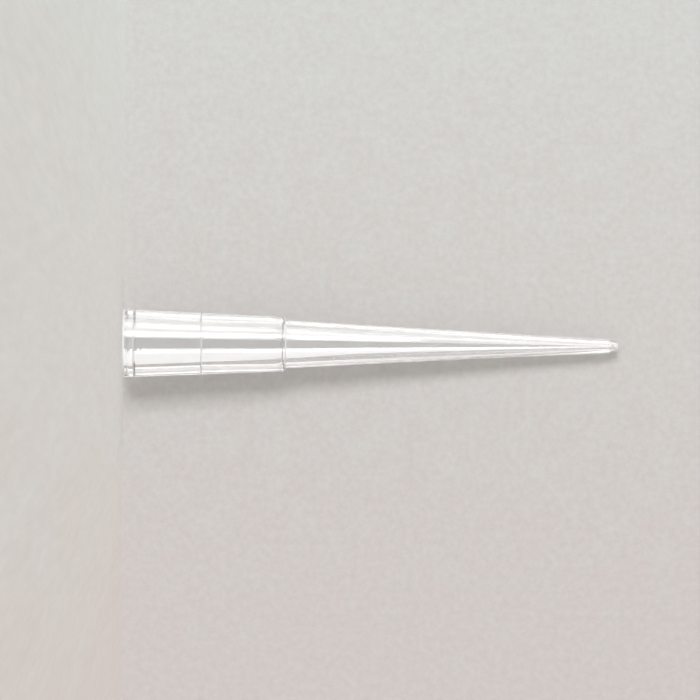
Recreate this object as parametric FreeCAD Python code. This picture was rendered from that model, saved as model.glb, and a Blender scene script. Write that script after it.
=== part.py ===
import FreeCAD, Part
import math
import os

# A clear 200 microlitre pipette tip, injection moulded in one piece from polypropylene.
# Millimetres. It stands on the rim of its mouth, as the real one can, because it rolls when
# it lies on its side. Z runs up its axis from the rim at 0 to the narrow end. The wall's
# section is drawn with X as the radius, and is turned once round the axis.

# Outside
HEIGHT = 50.8                 # rim to narrow end
RIM_RADIUS = 3.5              # collar at the rim
COLLAR_HEIGHT = 16.6
COLLAR_END_RADIUS = 2.79      # collar at the shoulder
SHANK_START_RADIUS = 2.46     # shank at the shoulder
FINE_START = 41.0             # the shank's taper eases from here to the narrow end
FINE_START_RADIUS = 1.13
END_TAPER_HEIGHT = 0.9        # last short taper, which parts the drop cleanly
END_TAPER_RADIUS = 0.70
END_FACE_RADIUS = 0.42
RIM_ROUNDING = 0.22
SHOULDER_ROUNDING = 0.10
SHOULDER_FILLET = 0.05
END_ROUNDING = 0.08

# Inside
MOUTH_RADIUS = 3.08
LEAD_IN_DEPTH = 0.38          # chamfer that leads the pipette's nozzle in
LEAD_IN_RADIUS = 2.95
LAND_START = 0.50             # short straight land inside the mouth
LAND_RADIUS = 2.90
LAND_END = 1.05
LAND_EDGE = 1.17              # the land's edge eases off before the step down to the seat
LAND_EDGE_RADIUS = 2.86
SEAT_START = 1.32             # conical seat that grips the nozzle
SEAT_START_RADIUS = 2.76
SEAT_END = 7.92
SEAT_END_RADIUS = 2.47
LEDGE_END = 8.03              # small ledge in where the seat ends
LEDGE_RADIUS = 2.42
THROAT_START = 15.6           # the bore narrows from here to the shank's own bore
THROAT_START_RADIUS = 2.26
THROAT_END = 17.2
SHANK_BORE_RADIUS = 2.05
ORIFICE_RADIUS = 0.25


def closed_outline(corners):
    """Straight runs through (radius, height, rounding) corners, with a tangent arc at each rounding."""
    points = [FreeCAD.Vector(radius, 0, height) for radius, height, rounding in corners]
    edges = []
    run_starts = []
    run_ends = []
    for i, corner in enumerate(points):
        rounding = corners[i][2]
        back = (points[i - 1] - corner).normalize()
        forward = (points[(i + 1) % len(points)] - corner).normalize()
        half_angle = back.getAngle(forward) / 2
        trim = rounding / math.tan(half_angle)
        arc_start = corner + back * trim
        arc_end = corner + forward * trim
        if rounding > 0:
            inwards = (back + forward).normalize()
            arc_middle = corner + inwards * (rounding / math.sin(half_angle) - rounding)
            edges.append(Part.Arc(arc_start, arc_middle, arc_end).toShape())
        run_ends.append(arc_start)
        run_starts.append(arc_end)
    for i, start in enumerate(run_starts):
        end = run_ends[(i + 1) % len(run_ends)]
        edges.append(Part.LineSegment(start, end).toShape())
    return Part.Wire(Part.__sortEdges__(edges))


def tip_section():
    """The wall's section on one side of the axis: up the outside, then down the bore."""
    outside = [
        (RIM_RADIUS, 0, RIM_ROUNDING),
        (COLLAR_END_RADIUS, COLLAR_HEIGHT, SHOULDER_ROUNDING),
        (SHANK_START_RADIUS, COLLAR_HEIGHT, SHOULDER_FILLET),
        (FINE_START_RADIUS, FINE_START, 0),
        (END_TAPER_RADIUS, HEIGHT - END_TAPER_HEIGHT, 0),
        (END_FACE_RADIUS, HEIGHT, END_ROUNDING),
    ]
    inside = [
        (ORIFICE_RADIUS, HEIGHT, 0),
        (SHANK_BORE_RADIUS, THROAT_END, 0),
        (THROAT_START_RADIUS, THROAT_START, 0),
        (LEDGE_RADIUS, LEDGE_END, 0),
        (SEAT_END_RADIUS, SEAT_END, 0),
        (SEAT_START_RADIUS, SEAT_START, 0),
        (LAND_EDGE_RADIUS, LAND_EDGE, 0),
        (LAND_RADIUS, LAND_END, 0),
        (LAND_RADIUS, LAND_START, 0),
        (LEAD_IN_RADIUS, LEAD_IN_DEPTH, 0),
        (MOUTH_RADIUS, 0, 0),
    ]
    return Part.Face(closed_outline(outside + inside))


os.makedirs("parts", exist_ok=True)
rim_centre = FreeCAD.Vector(0, 0, 0)
up_the_axis = FreeCAD.Vector(0, 0, 1)
pipette_tip = tip_section().revolve(rim_centre, up_the_axis, 360)
pipette_tip.exportStep("parts/pipette_tip.step")
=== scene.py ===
import math

import bpy
from mathutils import Matrix, Vector


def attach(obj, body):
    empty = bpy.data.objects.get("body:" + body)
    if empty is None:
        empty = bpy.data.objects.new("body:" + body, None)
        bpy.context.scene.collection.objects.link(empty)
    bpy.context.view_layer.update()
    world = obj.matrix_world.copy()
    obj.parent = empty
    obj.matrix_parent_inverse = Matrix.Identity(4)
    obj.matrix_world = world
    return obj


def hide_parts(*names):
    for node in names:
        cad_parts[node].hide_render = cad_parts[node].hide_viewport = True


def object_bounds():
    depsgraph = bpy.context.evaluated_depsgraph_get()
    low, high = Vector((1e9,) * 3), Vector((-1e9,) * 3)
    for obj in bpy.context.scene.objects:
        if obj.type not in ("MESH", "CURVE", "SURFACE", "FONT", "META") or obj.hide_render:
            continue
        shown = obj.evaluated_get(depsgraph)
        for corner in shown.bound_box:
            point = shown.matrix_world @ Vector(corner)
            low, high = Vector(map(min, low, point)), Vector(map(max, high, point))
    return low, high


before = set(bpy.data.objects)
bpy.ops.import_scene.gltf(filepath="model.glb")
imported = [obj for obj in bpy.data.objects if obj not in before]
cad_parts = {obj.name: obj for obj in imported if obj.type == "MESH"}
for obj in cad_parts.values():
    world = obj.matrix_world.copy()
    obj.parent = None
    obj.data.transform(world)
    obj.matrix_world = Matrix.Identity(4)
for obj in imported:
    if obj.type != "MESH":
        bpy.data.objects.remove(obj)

cad_low, cad_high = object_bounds()

MM = 0.001

# The tip, in millimetres, up the outside and down the bore: radius and height over the rim,
# as in the CAD model, then the rounding of the corner and its finish. The mould left the
# sharp edges a little matt.
CLEAR = "clear"          # the rounding is as clear as the walls beside it
EDGE = "edge"            # the rounding is matt
BAND = "band"            # the rounding is matt, and so is the run to the next corner
HEIGHT = cad_high[2] / MM
RIM_RADIUS = 3.5
COLLAR_HEIGHT = 16.6
COLLAR_END_RADIUS = 2.79
OUTSIDE = [
    (RIM_RADIUS, 0, 0.22, EDGE),
    (COLLAR_END_RADIUS, COLLAR_HEIGHT, 0.10, BAND),      # the shoulder
    (2.46, COLLAR_HEIGHT, 0.05, EDGE),                   # the shank begins
    (1.13, 41.0, 6.0, CLEAR),                            # its taper eases
    (0.70, 49.9, 0.3, CLEAR),                            # the last short taper
    (0.42, HEIGHT, 0.08, BAND),                          # the face of the narrow end
]
INSIDE = [
    (0.25, HEIGHT, 0.03, EDGE),                          # the orifice
    (2.05, 17.2, 1.0, CLEAR),                            # the shank's bore widens
    (2.26, 15.6, 1.0, CLEAR),                            # to the collar's
    (2.42, 8.03, 0.03, BAND),                            # the ledge
    (2.47, 7.92, 0.03, EDGE),                            # the seat's top
    (2.76, 1.32, 0.03, CLEAR),                           # the seat's bottom
    (2.86, 1.17, 0.03, BAND),                            # the land's eased edge
    (2.90, 1.05, 0.03, EDGE),                            # the land's top
    (2.90, 0.50, 0.03, EDGE),                            # the land's bottom
    (2.95, 0.38, 0.03, EDGE),                            # the lead-in
    (3.08, 0, 0.03, BAND),                               # the mouth
]
CORNERS = OUTSIDE + INSIDE
SEGMENTS = 192           # round the tip
ARC_STEPS = 6            # along each rounding
RUN_STEP = 1.5           # longest stretch of a straight run between two rings
SHORT_RUN = 0.375        # runs up to this long get no rings
EDGE_STEP = 0.04         # from a rounding to the ring that keeps its shading off the run


def rounded_profile(corners):
    """The closed section as (radius, height) points, with a tangent arc at each corner.
    Each point comes with the index of its corner."""
    points = [Vector((radius, height)) for radius, height, rounding, finish in corners]
    profile = []
    for i, corner in enumerate(points):
        rounding = corners[i][2]
        back = (points[i - 1] - corner).normalized()
        forward = (points[(i + 1) % len(points)] - corner).normalized()
        half_angle = back.angle(forward) / 2
        trim = rounding / math.tan(half_angle)
        centre = corner + (back + forward).normalized() * (rounding / math.sin(half_angle))
        start = corner + back * trim - centre
        end = corner + forward * trim - centre
        turn = start.angle_signed(end)
        for step in range(ARC_STEPS + 1):
            spoke = start.copy()
            spoke.rotate(Matrix.Rotation(-turn * step / ARC_STEPS, 2))
            profile.append((centre + spoke, i))
    return profile


def is_matt(corner, next_corner):
    """Whether the stretch between two points of the profile is matt, from their corners."""
    finish = CORNERS[corner][3]
    if corner == next_corner:
        return finish != CLEAR
    return finish == BAND


def with_rings_along_runs(profile):
    """Adds points along the long straight runs, closer together beside the roundings.
    Gives the points, and for each whether the stretch after it is matt."""
    points = []
    matt = []
    for i, (point, corner) in enumerate(profile):
        after, next_corner = profile[(i + 1) % len(profile)]
        run = after - point
        length = run.length
        stops = [0]
        if length > SHORT_RUN:
            count = max(2, math.ceil(length / RUN_STEP))
            stops = [length * step / count for step in range(count)]
            stops = sorted(stops + [EDGE_STEP, length - EDGE_STEP])
        for stop in stops:
            points.append(point + run * stop / length)
            matt.append(is_matt(corner, next_corner))
    return points, matt


def lathe(name, points, matt):
    """A closed solid of revolution about Z from a closed profile in millimetres. Its matt
    stretches take the second material."""
    verts = []
    for radius, height in points:
        for k in range(SEGMENTS):
            turn = 2 * math.pi * k / SEGMENTS
            verts.append((radius * math.cos(turn) * MM, radius * math.sin(turn) * MM, height * MM))
    faces = []
    slots = []
    for i in range(len(points)):
        ring = i * SEGMENTS
        next_ring = (i + 1) % len(points) * SEGMENTS
        for k in range(SEGMENTS):
            n = (k + 1) % SEGMENTS
            faces.append((ring + k, ring + n, next_ring + n, next_ring + k))
            slots.append(int(matt[i]))
    mesh = bpy.data.meshes.new(name)
    mesh.from_pydata(verts, [], faces)
    mesh.shade_smooth()
    mesh.polygons.foreach_set("material_index", slots)
    tip = bpy.data.objects.new(name, mesh)
    bpy.context.collection.objects.link(tip)
    return tip


HAZE_DENSITY = 90        # per metre
HAZE_FORWARD = 0.6       # how strongly it scatters forwards, of 1


def polypropylene(name, roughness, transmission):
    """Uncoloured moulded polypropylene."""
    material = bpy.data.materials.new(name)
    material.use_nodes = True
    shader = material.node_tree.nodes["Principled BSDF"]
    shader.inputs["Base Color"].default_value = (1.0, 1.0, 1.0, 1.0)
    shader.inputs["Roughness"].default_value = roughness
    shader.inputs["IOR"].default_value = 1.49
    shader.inputs["Transmission Weight"].default_value = transmission
    return material


def clear_polypropylene():
    """The walls: glossy and clear, with the faint haze of polypropylene inside them."""
    material = polypropylene("clear_polypropylene", 0.03, 1.0)
    nodes = material.node_tree.nodes
    haze = nodes.new("ShaderNodeVolumeScatter")
    haze.inputs["Density"].default_value = HAZE_DENSITY
    haze.inputs["Anisotropy"].default_value = HAZE_FORWARD
    material.node_tree.links.new(haze.outputs[0], nodes["Material Output"].inputs["Volume"])
    return material


def make_tip():
    tip = lathe("clear_tip", *with_rings_along_runs(rounded_profile(CORNERS)))
    tip.data.materials.append(clear_polypropylene())
    tip.data.materials.append(polypropylene("satin_polypropylene", 0.45, 0.3))
    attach(tip, "root")
    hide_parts("pipette_tip")


# The studio. The photographed tip lies on paper, on the underside of its collar. The model
# stands on its rim, so here the paper is a backdrop that touches the collar all along its
# back, and the camera and the lamps face that backdrop. The studio's frame has its origin
# where the rim touches the paper, X up along the collar's contact line, Y to the top of the
# picture and Z out of the paper.
def studio_frame():
    lean = math.atan((RIM_RADIUS - COLLAR_END_RADIUS) / COLLAR_HEIGHT)
    along = Vector((0, -math.sin(lean), math.cos(lean)))
    picture_up = Vector((-1, 0, 0))
    out = along.cross(picture_up)
    frame_matrix = Matrix((along, picture_up, out)).transposed().to_4x4()
    frame_matrix.translation = Vector((0, RIM_RADIUS * MM, 0))
    return frame_matrix


STUDIO = studio_frame()


CAMERA_PLACE = Vector((23.385, -0.568, 322)) * MM        # in the studio's frame
CAMERA_ROLL = 0.362      # degrees
CAMERA_SENSOR = 36       # millimetres, as is the lens
CAMERA_LENS = 160.2


def make_camera():
    """The camera faces the backdrop squarely, and takes in all of the tip."""
    data = bpy.data.cameras.new("camera")
    data.sensor_width = CAMERA_SENSOR
    data.lens = CAMERA_LENS
    data.clip_start = 0.01
    data.clip_end = 10
    camera = bpy.data.objects.new("camera", data)
    bpy.context.collection.objects.link(camera)
    roll = Matrix.Rotation(math.radians(CAMERA_ROLL), 4, "Z")
    camera.matrix_world = STUDIO @ Matrix.Translation(CAMERA_PLACE) @ roll
    bpy.context.scene.camera = camera


PAPER_TOP = (0.654, 0.658, 0.624, 1)
PAPER_MIDDLE = (0.649, 0.626, 0.596, 1)
PAPER_BOTTOM = (0.644, 0.594, 0.568, 1)
PAPER_LOW = -0.030       # metres up the picture from the tip, where the tint is the bottom's
PAPER_HIGH = 0.042       # and where it is the top's
PAPER_SHINE = 0.08
PAPER_ROUGHNESS = 0.2
GRAIN_SCALE = 1400       # per metre
GRAIN = 0.07             # how much the grain darkens and lightens the paper
GRAIN_LOW = 0.25         # the noise's usual lowest and highest value
GRAIN_HIGH = 0.75
BLOTCH_SCALE = 350       # per metre
BLOTCH = 0.9             # how far the blotches move the tint, of the way from bottom to top
STAGE_HALF = 1.5         # metres, half a side of the backdrop and of the floor
# The main view sees the floor nearly edge-on, so its grain is drawn out towards the camera. It
# is fainter than the backdrop's, because other views see it from above.
FLOOR_DEPTH_SCALE = 0.07
FLOOR_CONTRAST = 0.6
FLOOR_TOP = (0.656, 0.683, 0.664, 1)     # the lamps don't cool the floor as they do the backdrop
FLOOR_GLOW = 0.31        # brings it to the backdrop's level


def noise(tree, where, scale, detail, roughness):
    texture = tree.nodes.new("ShaderNodeTexNoise")
    texture.inputs["Scale"].default_value = scale
    texture.inputs["Detail"].default_value = detail
    texture.inputs["Roughness"].default_value = roughness
    tree.links.new(where, texture.inputs["Vector"])
    return texture.outputs["Fac"]


def remap(tree, value, from_min, from_max, to_min, to_max):
    ramp = tree.nodes.new("ShaderNodeMapRange")
    ramp.inputs["From Min"].default_value = from_min
    ramp.inputs["From Max"].default_value = from_max
    ramp.inputs["To Min"].default_value = to_min
    ramp.inputs["To Max"].default_value = to_max
    tree.links.new(value, ramp.inputs["Value"])
    return ramp.outputs[0]


def paper_colour(tree, place, depth_scale, contrast, top):
    """Warm grey paper: a faint grain, and a blotchy tint that drifts from cool above to pink
    below, both laid out along place's axes, or the object's own."""
    nodes = tree.nodes
    links = tree.links
    where = nodes.new("ShaderNodeTexCoord")
    where.object = place
    drawn_out = nodes.new("ShaderNodeMapping")
    drawn_out.inputs["Scale"].default_value = (1, 1, depth_scale)
    links.new(where.outputs["Object"], drawn_out.inputs["Vector"])
    axes = nodes.new("ShaderNodeSeparateXYZ")
    links.new(where.outputs["Object"], axes.inputs[0])
    height = remap(tree, axes.outputs["Y"], PAPER_LOW, PAPER_HIGH, 0, 1)
    blotches = noise(tree, drawn_out.outputs[0], BLOTCH_SCALE, detail=2, roughness=0.5)
    drift = remap(tree, blotches, 0, 1, -BLOTCH * contrast / 2, BLOTCH * contrast / 2)
    blend = nodes.new("ShaderNodeMath")
    blend.operation = "ADD"
    blend.use_clamp = True
    links.new(height, blend.inputs[0])
    links.new(drift, blend.inputs[1])
    tint = nodes.new("ShaderNodeMix")
    tint.data_type = "RGBA"
    tint.inputs["A"].default_value = PAPER_BOTTOM
    tint.inputs["B"].default_value = top
    links.new(blend.outputs[0], tint.inputs["Factor"])
    grain = noise(tree, drawn_out.outputs[0], GRAIN_SCALE, detail=4, roughness=0.75)
    shade = remap(tree, grain, GRAIN_LOW, GRAIN_HIGH, 1 - GRAIN * contrast, 1 + GRAIN * contrast)
    colour = nodes.new("ShaderNodeVectorMath")
    colour.operation = "SCALE"
    links.new(tint.outputs["Result"], colour.inputs[0])
    links.new(shade, colour.inputs["Scale"])
    return colour.outputs[0]


def paper_material():
    """Matt paper, seen only from its front, so that the views from behind look through it at
    the tip. The clear wall sees a soft shine on it."""
    material = bpy.data.materials.new("paper")
    material.use_nodes = True
    nodes = material.node_tree.nodes
    links = material.node_tree.links
    nodes.remove(nodes["Principled BSDF"])
    matt = nodes.new("ShaderNodeBsdfDiffuse")
    links.new(paper_colour(material.node_tree, None, 1, 1, PAPER_TOP), matt.inputs["Color"])
    shine = nodes.new("ShaderNodeBsdfGlossy")
    shine.inputs["Color"].default_value = (PAPER_SHINE, PAPER_SHINE, PAPER_SHINE, 1)
    shine.inputs["Roughness"].default_value = PAPER_ROUGHNESS
    shiny = nodes.new("ShaderNodeAddShader")
    links.new(matt.outputs[0], shiny.inputs[0])
    links.new(shine.outputs[0], shiny.inputs[1])
    path = nodes.new("ShaderNodeLightPath")
    front = nodes.new("ShaderNodeMixShader")
    links.new(path.outputs["Is Camera Ray"], front.inputs[0])
    links.new(shiny.outputs[0], front.inputs[1])
    links.new(matt.outputs[0], front.inputs[2])
    see_through = nodes.new("ShaderNodeBsdfTransparent")
    side = nodes.new("ShaderNodeNewGeometry")
    both_sides = nodes.new("ShaderNodeMixShader")
    links.new(side.outputs["Backfacing"], both_sides.inputs[0])
    links.new(front.outputs[0], both_sides.inputs[1])
    links.new(see_through.outputs[0], both_sides.inputs[2])
    links.new(both_sides.outputs[0], nodes["Material Output"].inputs["Surface"])
    return material


def floor_material(paper):
    """The same paper on the floor, laid out along the backdrop's axes so that the two meet."""
    material = bpy.data.materials.new("floor")
    material.use_nodes = True
    links = material.node_tree.links
    shader = material.node_tree.nodes["Principled BSDF"]
    colour = paper_colour(material.node_tree, paper, FLOOR_DEPTH_SCALE, FLOOR_CONTRAST, FLOOR_TOP)
    links.new(colour, shader.inputs["Base Color"])
    links.new(colour, shader.inputs["Emission Color"])
    shader.inputs["Roughness"].default_value = 1.0
    shader.inputs["Specular IOR Level"].default_value = 0.0
    shader.inputs["Emission Strength"].default_value = FLOOR_GLOW
    return material


def stage_piece(name, verts, faces, matrix, material):
    mesh = bpy.data.meshes.new(name)
    mesh.from_pydata(verts, [], faces)
    piece = bpy.data.objects.new(name, mesh)
    bpy.context.collection.objects.link(piece)
    piece.matrix_world = matrix
    piece.data.materials.append(material)
    return piece


def plane(name, matrix, material):
    half = STAGE_HALF
    corners = [(-half, -half, 0), (half, -half, 0), (half, half, 0), (-half, half, 0)]
    return stage_piece(name, corners, [(0, 1, 2, 3)], matrix, material)


def only_the_camera_sees(piece):
    piece.visible_diffuse = False
    piece.visible_glossy = False
    piece.visible_transmission = False
    piece.visible_shadow = False


# Painted light: glowing strips on the paper, which are not lamps. No camera sees them except
# through the tip, where they brighten the wall's bands, or mirrored in its outline.
# Each strip has a strength, whether the gloss mirrors it, and rows of height, lower edge and upper
# edge in the studio's millimetres.
GLOWS = {
    "glow_low": (0.95, True, [
        (0.2, -5.25, -4.1), (16.5, -4.2, -3.25), (16.7, -3.7, -2.9), (36, -2.05, -2.0)]),
    "glow_middle": (0.42, False, [
        (0.2, -3.1, -0.95), (8.8, -2.6, -0.9), (24.3, -1.15, -0.42), (50, -0.26, -0.11)]),
    "glow_high": (0.28, False, [
        (0.2, 0.65, 2.7), (8.8, 0.55, 2.4), (24.3, 0.36, 1.25), (50, 0.1, 0.43)]),
}
GLOW_LIFT = 0.01         # millimetres in front of the paper


def glow_material(name, strength):
    """Painted light, not a lamp: adds its glow to what the paper behind it shows."""
    material = bpy.data.materials.new(name)
    material.use_nodes = True
    nodes = material.node_tree.nodes
    links = material.node_tree.links
    nodes.remove(nodes["Principled BSDF"])
    light = nodes.new("ShaderNodeEmission")
    light.inputs["Strength"].default_value = strength
    see_through = nodes.new("ShaderNodeBsdfTransparent")
    both = nodes.new("ShaderNodeAddShader")
    links.new(light.outputs[0], both.inputs[0])
    links.new(see_through.outputs[0], both.inputs[1])
    links.new(both.outputs[0], nodes["Material Output"].inputs["Surface"])
    return material


def make_glow(name, strength, mirrored, rows):
    verts = []
    for height, lower, upper in rows:
        verts.append((height * MM, lower * MM, GLOW_LIFT * MM))
        verts.append((height * MM, upper * MM, GLOW_LIFT * MM))
    faces = [(i, i + 2, i + 3, i + 1) for i in range(0, len(verts) - 2, 2)]
    glow = stage_piece(name, verts, faces, STUDIO, glow_material(name, strength))
    glow.visible_camera = False
    glow.visible_diffuse = False
    glow.visible_glossy = mirrored
    glow.visible_shadow = False
    glow.visible_volume_scatter = False


def make_stage():
    paper = plane("paper", STUDIO, paper_material())
    floor = plane("floor", Matrix.Identity(4), floor_material(paper))
    only_the_camera_sees(floor)
    for name, glow in GLOWS.items():
        make_glow(name, *glow)


LAMP_DISTANCE = 1.5      # metres
LAMP_COLOUR = (0.97, 0.99, 1.04)         # a little blue
LAMP_AIM = Vector((23, 0, 3)) * MM       # near the picture's centre, in the studio's frame


def lamp(name, zenith, azimuth, width, height, radiance):
    """An area lamp facing the tip. Its angles in degrees are from the paper's normal, and
    round it from picture right, and its width and height are how large the tip sees it."""
    zenith = math.radians(zenith)
    azimuth = math.radians(azimuth)
    direction = Vector((math.sin(zenith) * math.cos(azimuth),
                        math.sin(zenith) * math.sin(azimuth), math.cos(zenith)))
    data = bpy.data.lights.new(name, "AREA")
    data.shape = "RECTANGLE"
    data.color = LAMP_COLOUR
    data.size = 2 * LAMP_DISTANCE * math.tan(math.radians(width / 2))
    data.size_y = 2 * LAMP_DISTANCE * math.tan(math.radians(height / 2))
    data.energy = radiance * math.pi * data.size * data.size_y
    light = bpy.data.objects.new(name, data)
    bpy.context.collection.objects.link(light)
    back = STUDIO.to_3x3() @ direction
    across = STUDIO.to_3x3() @ Vector((-math.sin(azimuth), math.cos(azimuth), 0))
    turn = Matrix((across, back.cross(across), back)).transposed().to_4x4()
    light.matrix_world = Matrix.Translation(STUDIO @ LAMP_AIM + back * LAMP_DISTANCE) @ turn
    return light


def keep_to_gloss(light):
    """The lamp is mirrored in gloss, but lights neither the matt paper nor the haze in the wall."""
    light.visible_diffuse = False
    light.visible_volume_scatter = False


WORLD_LIGHT = (0.64, 0.632, 0.622, 1)


def make_world():
    """An even grey light, which looks like the paper where it is seen or mirrored."""
    world = bpy.data.worlds.new("world")
    bpy.context.scene.world = world
    world.use_nodes = True
    nodes = world.node_tree.nodes
    links = world.node_tree.links
    path = nodes.new("ShaderNodeLightPath")
    seen = path.outputs["Is Camera Ray"]
    for ray in ("Is Glossy Ray", "Is Transmission Ray"):
        either = nodes.new("ShaderNodeMath")
        either.operation = "MAXIMUM"
        links.new(seen, either.inputs[0])
        links.new(path.outputs[ray], either.inputs[1])
        seen = either.outputs[0]
    tone = nodes.new("ShaderNodeMix")
    tone.data_type = "RGBA"
    tone.inputs["A"].default_value = WORLD_LIGHT
    tone.inputs["B"].default_value = PAPER_MIDDLE
    links.new(seen, tone.inputs["Factor"])
    links.new(tone.outputs["Result"], nodes["Background"].inputs["Color"])
    nodes["Background"].inputs["Strength"].default_value = 1


def make_lights():
    lamp("key", 34, 92, 26, 18, 10.3)
    keep_to_gloss(lamp("overhead", 0, 90, 50, 50, 0.8))
    # These two stand behind the tip in views from the side, and seen through it would burn it out.
    for low_lamp in (lamp("strip", 67, 85, 30, 48, 3), lamp("fill", 52, 270, 30, 40, 3)):
        keep_to_gloss(low_lamp)
        low_lamp.visible_transmission = False
    make_world()


BOUNCES = 32             # through the wall, there and back
HAZE_BOUNCES = 8


def set_light_paths():
    cycles = bpy.context.scene.cycles
    cycles.max_bounces = BOUNCES
    cycles.transmission_bounces = BOUNCES
    cycles.glossy_bounces = BOUNCES
    cycles.volume_bounces = HAZE_BOUNCES


make_tip()
make_camera()
make_stage()
make_lights()
bpy.context.scene.view_settings.view_transform = "Standard"
set_light_paths()
